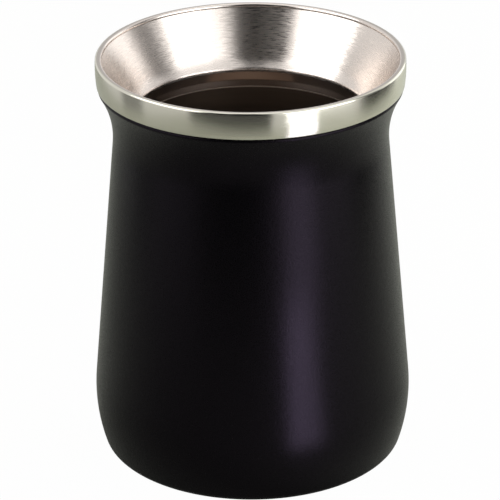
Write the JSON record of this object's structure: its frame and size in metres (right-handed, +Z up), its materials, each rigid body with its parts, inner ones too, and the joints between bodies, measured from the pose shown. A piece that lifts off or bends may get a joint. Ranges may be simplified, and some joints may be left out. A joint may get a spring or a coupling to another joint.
{
  "type": "insulated mate cup",
  "caption": "Double-wall vacuum insulated cup with a coated body that swells towards its foot and a flared bare steel funnel mouth with a rolled lip.",
  "frame": {"origin": "on the cup's axis, in the plane of the foot ring that it stands on", "axes": "+Z up along the cup's axis of revolution; X and Y are alike"},
  "size_m": [0.084, 0.084, 0.1092],
  "materials": {
    "black_coat": "fine satin powder coat",
    "brushed_steel": "brushed round the axis, polished on the lip",
    "liner_steel": "drawn steel with fine turning marks",
    "plain_steel": "plain pressed sheet",
    "copper_foil": "smooth copper foil",
    "getter_alloy": "sintered, matt",
    "solder_glass": "opaque glass, glossy"
  },
  "bodies": {
    "root": {"outer_shell": "black_coat", "mouth_funnel": "brushed_steel", "liner_tube": "liner_steel", "liner_base": "liner_steel", "shield_foil": "copper_foil", "getter_pellet": "getter_alloy", "getter_strap": "plain_steel", "vacuum_base": "plain_steel", "seal_bead": "solder_glass", "base_cap": "plain_steel"}
  },
  "joints": []
}
